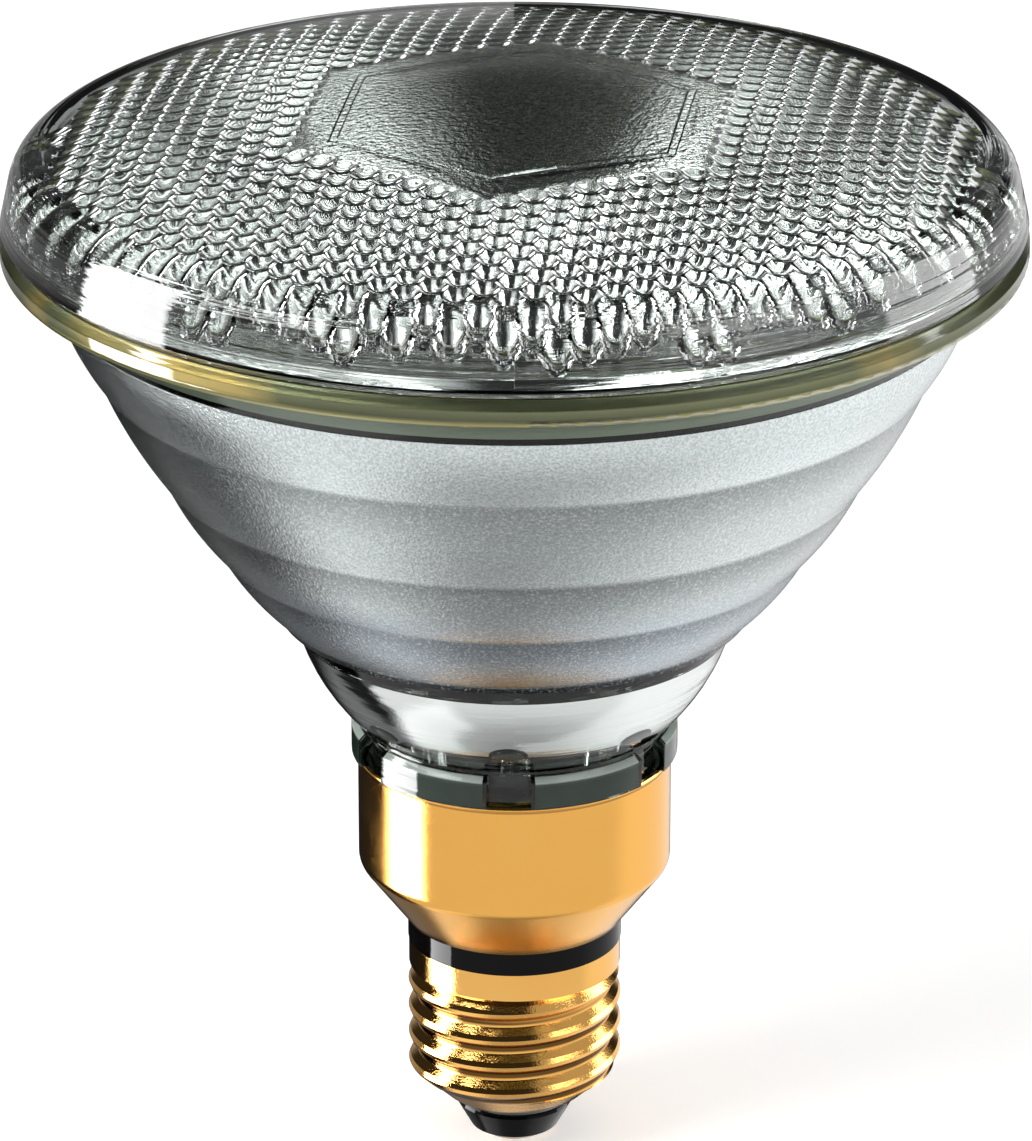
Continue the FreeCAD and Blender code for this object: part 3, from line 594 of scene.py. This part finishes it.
def curveInside(bm, lift):
    # bumps and line stand out from the curved inside
    for v in bm.verts:
        x, y = v.co.x / mm, v.co.y / mm
        into = lensShape["lineWidth"] / 2 - abs(hexDistance(x, y) - linePlace)
        raised = lensShape["lineHeight"] * min(1, max(0, into / lensShape["lineSlope"]))
        v.co.z = (innerHeight(math.hypot(x, y)) - v[lift] - raised) * mm


def outsideLine():
    # from the end of the inside: its rounded corner, then seat, rim, shoulder and dome
    shape = lensShape
    underside = innerHeight(shape["innerRadius"])
    corner = arcLine((shape["innerRadius"], underside), (shape["seatRadius"], underside - shape["innerDrop"]),
                     -shape["innerRound"], 8)
    seat = [(shape["seatRadius"], shape["seatHeight"]),
            (shape["sideRadius"] - shape["chamfer"], shape["seatHeight"]),
            (shape["sideRadius"], shape["seatHeight"] + shape["chamfer"])]
    shoulder = arcLine(shape["shoulderLow"], shape["shoulderTop"], shape["shoulderBulge"], 10)
    return corner + seat + shoulder + [(r, domeHeight(r, 0)) for r in shape["domeRings"]]


def lensPiece():
    bm = bmesh.new()
    spin = Matrix.Rotation(math.radians(lensShape["turn"] + 30), 4, "Z")
    bumps, spares = bumpCells()
    cellField(bm, bumps + spares, spin)
    lift = liftBumps(bm, bumps)
    fillPlain(bm, spin)
    curveInside(bm, lift)
    spinProfile(bm, outsideLine(), lensShape["steps"])
    return finishPiece(bm, "lens_pattern", ["lens"], [looks["lensGlass"]])


lensPiece()


def filmPiece(name, outer, inset, rise, look, sharp=35):
    # a thin closed shell between a line and the same line set inwards
    bm = bmesh.new()
    inner = [(r - inset, z + rise) for r, z in reversed(outer)]
    spinProfile(bm, outer + inner + [outer[0]])
    return finishPiece(bm, name, [], [looks[look]], sharp)


mirrorShape = {"focus": 12.4, "vertex": 58.7, "floor": 61.0, "top": 115.0, "film": 0.06, "gap": 0.01,
               "rows": 30, "crowding": 1.5}   # rows lie closer together near the floor


def mirrorLine():
    shape = mirrorShape
    line = []
    for k in range(shape["rows"] + 1):
        z = shape["floor"] + (shape["top"] - shape["floor"]) * (k / shape["rows"]) ** shape["crowding"]
        line.append((math.sqrt(4 * shape["focus"] * (z - shape["vertex"])) - shape["gap"], z))
    return line


satinShape = {"body": 53.16, "bodyVertex": 56.14, "bulge": 0.5, "skin": 0.08, "inset": 1.6, "rise": 0.3,
              "step": ((27.3, 71.0), (28.2, 71.05), (28.9, 71.4))}   # the rounded step under the last band


def bodyPoint(z):
    # a point on the outside of the pressed body
    return math.sqrt(satinShape["body"] * (z - satinShape["bodyVertex"])) + satinShape["skin"], z


def satinLine():
    line = list(satinShape["step"])
    for low, high in zip(bandEdges, bandEdges[1:]):
        line += arcLine(bodyPoint(low), bodyPoint(high), satinShape["bulge"], 10)[:-1]
    return line + [bodyPoint(bandEdges[-1])]


# the bright bowl that shows through the clear neck
neckShape = {"low": (20.7, 60.2), "high": (25.3, 68.7), "bulge": 0.46, "film": 0.12}
# what shows through the clear collar and the flange
rimShape = {"inset": 0.15, "rise": 0.08, "line": ((55.0, 113.6), (56.1, 116.1), (57.3, 117.35), (60.6, 117.35),
                                                  (60.9, 117.7), (60.9, 119.0), (60.1, 119.8))}
skin = satinShape["skin"]
filmPiece("mirror_coat", mirrorLine(), mirrorShape["film"], mirrorShape["film"], "mirrorCoat")
filmPiece("satin_coat", satinLine(), skin * satinShape["inset"], skin * satinShape["rise"], "satinCoat",
          sharp=12)
filmPiece("neck_mirror", arcLine(neckShape["low"], neckShape["high"], neckShape["bulge"], 16),
          neckShape["film"], neckShape["film"], "mirrorCoat")
filmPiece("rim_film", list(rimShape["line"]), rimShape["inset"], rimShape["rise"], "rimFilm")


footShape = {"count": 6, "front": -2.0, "notch": 15.5, "gap": 1.5, "inset": 0.12, "drop": 0.06, "steps": 22,
             "line": ((19.3, 56.3), (19.9, 55.7), (19.86, 55.6), (19.86, 52.5))}


def footPiece():
    # what shows through the glass foot between its notches
    bm = bmesh.new()
    shape = footShape
    pitch = 360 / shape["count"]
    run = pitch - shape["notch"] - 2 * shape["gap"]
    outer = list(shape["line"])
    inner = [(r - shape["inset"], z - shape["drop"]) for r, z in reversed(outer)]
    for k in range(shape["count"]):
        start = math.radians(shape["front"] + k * pitch + shape["notch"] / 2 + shape["gap"] - 90)
        geom = addProfile(bm, outer + inner + [outer[0]])
        bmesh.ops.transform(bm, matrix=Matrix.Rotation(start, 4, "Z"),
                            verts=[g for g in geom if isinstance(g, bmesh.types.BMVert)])
        bmesh.ops.spin(bm, geom=geom, cent=(0, 0, 0), axis=(0, 0, 1), dvec=(0, 0, 0),
                       angle=math.radians(run), steps=shape["steps"], use_merge=False, use_duplicate=False)
    bmesh.ops.remove_doubles(bm, verts=bm.verts, dist=weld * mm)
    bmesh.ops.holes_fill(bm, edges=[e for e in bm.edges if e.is_boundary], sides=0)
    return finishPiece(bm, "foot_film", [], [looks["footFilm"]])


studShape = {"count": 8, "front": -2.0, "radius": 20.95, "height": 60.0,
             "width": 2.35, "tall": 1.9, "deep": 0.7, "lean": 28}


def studPiece():
    # dark glass half-domes round the bottom of the neck
    bm = bmesh.new()
    shape = studShape
    lean = Matrix.Rotation(math.radians(shape["lean"]), 4, "X")
    shift = Matrix.Translation((0, -shape["radius"] * mm, shape["height"] * mm))
    for k in range(shape["count"]):
        before = set(bm.verts)
        made = bmesh.ops.create_uvsphere(bm, u_segments=24, v_segments=16, radius=mm)["verts"]
        bmesh.ops.scale(bm, vec=(shape["width"], shape["deep"], shape["tall"]), verts=made)
        geom = list(made) + linked(made, "link_edges") + linked(made, "link_faces")
        cut = bmesh.ops.bisect_plane(bm, geom=geom, dist=0.0001 * mm, plane_co=(0, 0, 0), plane_no=(0, 0, -1),
                                     clear_outer=True)["geom_cut"]
        bmesh.ops.contextual_create(bm, geom=[g for g in cut if isinstance(g, bmesh.types.BMEdge)])
        azimuth = math.radians(shape["front"] + 360 * k / shape["count"])
        bmesh.ops.transform(bm, matrix=Matrix.Rotation(azimuth, 4, "Z") @ shift @ lean,
                            verts=[v for v in bm.verts if v not in before])
    return finishPiece(bm, "neck_studs", [], [looks["darkGlass"]])


footPiece()
studPiece()


floorShape = {"half": 4.0, "paint": 0.85, "glow": 0.38}


def makeFloor():
    bm = bmesh.new()
    bmesh.ops.create_grid(bm, x_segments=1, y_segments=1, size=floorShape["half"])
    mesh = bpy.data.meshes.new("floor")
    bm.to_mesh(mesh)
    bm.free()
    floor = bpy.data.objects.new("floor", mesh)
    scene.collection.objects.link(floor)
    look = bpy.data.materials.new("paleFloor")
    look.use_nodes = True
    look.node_tree.nodes.clear()
    tree = Tree(look.node_tree)
    seen = tree.add("ShaderNodeLightPath").outputs["Is Camera Ray"]
    paint = tree.add("ShaderNodeBsdfDiffuse", {"Color": (*[floorShape["paint"]] * 3, 1)})
    strength = tree.times(seen, floorShape["glow"])
    glow = tree.add("ShaderNodeEmission", {"Color": (1, 1, 1, 1), "Strength": strength})
    both = tree.add("ShaderNodeAddShader", {0: paint.outputs[0], 1: glow.outputs[0]})
    tree.add("ShaderNodeOutputMaterial", {"Surface": both.outputs[0]})
    mesh.materials.append(look)
    floor.visible_glossy = False
    floor.visible_transmission = False


# The room that metal and glass show. Angles are in degrees: round from the camera's side to the right,
# and up from the horizon. Each patch has its ends and the softness of its edges both ways.
roomPatches = {
    "lowPanel": ((-103.0, -73.0, 1.2), (-30.0, -22.0, 1.0)),
    "highPanel": ((-108.0, -81.0, 1.2), (-22.0, 42.0, 1.0)),
    "rightPanel": ((88.0, 120.0, 1.5), (-12.0, 34.0, 1.5)),
    "leftSky": ((-84.0, -44.0, 3.0), (30.0, 52.0, 3.0)),
    "rightSky": ((20.0, 118.0, 3.0), (14.0, 46.0, 3.0)),
    "mirroredSky": ((24.0, 130.0, 3.0), (-8.0, 62.0, 4.0)),
    "leftGlow": ((-145.0, -52.0, 10.0), (-74.0, -57.0, 3.0)),
}
roomLevels = {
    "ground": 0.84, "nadirLoss": 0.52, "rightGlow": 0.2, "leftGlow": 0.35, "darkLoss": 0.985,
    "sky": 0.03, "leftSky": 1.4, "rightSky": 0.95, "mirroredSky": 0.5, "rightPanel": 0.35,
    "mirroredPanels": 18.0, "clearPanels": 3.2,   # in a first reflection, and through the glass
    "even": 0.6,   # what lights the matt surfaces
}


def box(tree, angle, low, high, soft):
    rise = tree.spread(angle, low - soft, low + soft, 0.0, 1.0, True)
    fall = tree.spread(angle, high - soft, high + soft, 1.0, 0.0, True)
    return tree.times(rise, fall)


def groundLight(tree, turn, lift, patch):
    # the table round the lamp, with the dark places that the neck and the ring show
    shallow = tree.spread(lift, -60.0, -53.0, 0.0, 1.0, True)
    edge = tree.math("SUBTRACT", tree.times(lift, 0.5), 84.0)
    leftDark = tree.times(tree.spread(tree.math("SUBTRACT", turn, edge), 3.0, -3.0, 0.0, 1.0, True), shallow)
    outerGrey = tree.plus(tree.times(tree.spread(turn, -129.0, -138.0, 0.0, 0.2, True),
                                     tree.spread(lift, -30.0, -38.0, 0.0, 1.0, True)),
                          tree.spread(lift, -22.5, -19.5, 0.0, 0.4, True))
    backDark = tree.times(box(tree, turn, 168.0, 190.0, 4.0), shallow)
    dark = tree.math("MAXIMUM", tree.times(leftDark, tree.rest(outerGrey)), backDark)
    nadir = tree.spread(lift, -50.0, -88.0, 0.0, 1.0, True)
    ground = tree.math("SUBTRACT", roomLevels["ground"], tree.times(nadir, roomLevels["nadirLoss"]))
    ground = tree.plus(ground, tree.times(box(tree, turn, 85.0, 160.0, 10.0), roomLevels["rightGlow"]),
                       tree.times(patch["leftGlow"], roomLevels["leftGlow"]))
    return tree.times(ground, tree.rest(tree.times(dark, roomLevels["darkLoss"])))


def makeWorld():
    world = bpy.data.worlds.new("studio")
    scene.world = world
    world.use_nodes = True
    world.node_tree.nodes.clear()
    tree = Tree(world.node_tree)
    light = tree.add("ShaderNodeLightPath").outputs
    through = light["Is Transmission Ray"]
    way = tree.add("ShaderNodeSeparateXYZ", {0: tree.add("ShaderNodeTexCoord").outputs["Generated"]}).outputs
    turn = tree.math("DEGREES", tree.math("ARCTAN2", way[0], tree.times(way[1], -1.0)))
    lift = tree.math("DEGREES", tree.math("ARCSINE", way[2]))
    patch = {name: tree.times(box(tree, turn, *across), box(tree, lift, *upright))
             for name, (across, upright) in roomPatches.items()}
    # the ground ends below the horizon, and lowest in front
    front = tree.times(box(tree, turn, -60.0, 30.0, 4.0), tree.spread(lift, -16.0, -9.0, 0.0, 1.0, True))
    lower = tree.times(tree.spread(lift, -6.0, 8.0, 1.0, 0.0, True), tree.rest(front))
    clear = tree.plus(tree.times(patch["leftSky"], roomLevels["leftSky"]),
                      tree.times(patch["rightSky"], roomLevels["rightSky"]))
    mirrored = tree.times(patch["mirroredSky"], roomLevels["mirroredSky"])
    sky = tree.plus(tree.times(clear, through), tree.times(mirrored, tree.rest(through)), roomLevels["sky"])
    room = tree.plus(tree.times(groundLight(tree, turn, lift, patch), lower), tree.times(sky, tree.rest(lower)))
    panels = tree.plus(tree.math("MAXIMUM", patch["lowPanel"], patch["highPanel"]),
                       tree.times(patch["rightPanel"], roomLevels["rightPanel"]))
    power = tree.spread(through, 0.0, 1.0, roomLevels["mirroredPanels"], roomLevels["clearPanels"])
    room = tree.math("MAXIMUM", room, tree.times(panels, power))
    seen = tree.math("MAXIMUM", light["Is Glossy Ray"], through)
    level = tree.plus(tree.times(seen, room), tree.times(tree.rest(seen), roomLevels["even"]))
    level = tree.math("MAXIMUM", level, light["Is Camera Ray"])
    back = tree.add("ShaderNodeBackground", {"Color": (1, 1, 1, 1), "Strength": level})
    tree.add("ShaderNodeOutputWorld", {"Surface": back.outputs[0]})


# place, size and power
lamps = {"keyLight": ((-0.9, -0.5, 0.9), 0.6, 9), "fillLight": ((1.0, -0.7, 0.7), 0.8, 5)}


def makeLamp(name, place, size, power):
    data = bpy.data.lights.new(name, "AREA")
    data.shape = "RECTANGLE"
    data.size = data.size_y = size
    data.energy = power
    lamp = bpy.data.objects.new(name, data)
    lamp.location = place
    aim = Vector((0, 0, 0.07)) - Vector(place)
    lamp.rotation_euler = aim.to_track_quat("-Z", "Y").to_euler()
    lamp.visible_camera = False
    scene.collection.objects.link(lamp)


cameraShape = {"place": (0, -0.7853, 0.3946), "tilt": 67.5, "sensor": 36, "lens": 220.21,
               "shift": (0.0013, 0.04), "clip": (0.05, 20)}


def makeCamera():
    data = bpy.data.cameras.new("camera")
    data.sensor_width = cameraShape["sensor"]
    data.lens = cameraShape["lens"]
    data.shift_x, data.shift_y = cameraShape["shift"]
    data.clip_start, data.clip_end = cameraShape["clip"]
    camera = bpy.data.objects.new("camera", data)
    camera.location = cameraShape["place"]
    camera.rotation_euler = (math.radians(cameraShape["tilt"]), 0, 0)
    scene.collection.objects.link(camera)
    scene.camera = camera


makeFloor()
makeWorld()
for lampName, (lampPlace, lampSize, lampPower) in lamps.items():
    makeLamp(lampName, lampPlace, lampSize, lampPower)
makeCamera()
scene.view_settings.view_transform = "Standard"
print("studio ready")
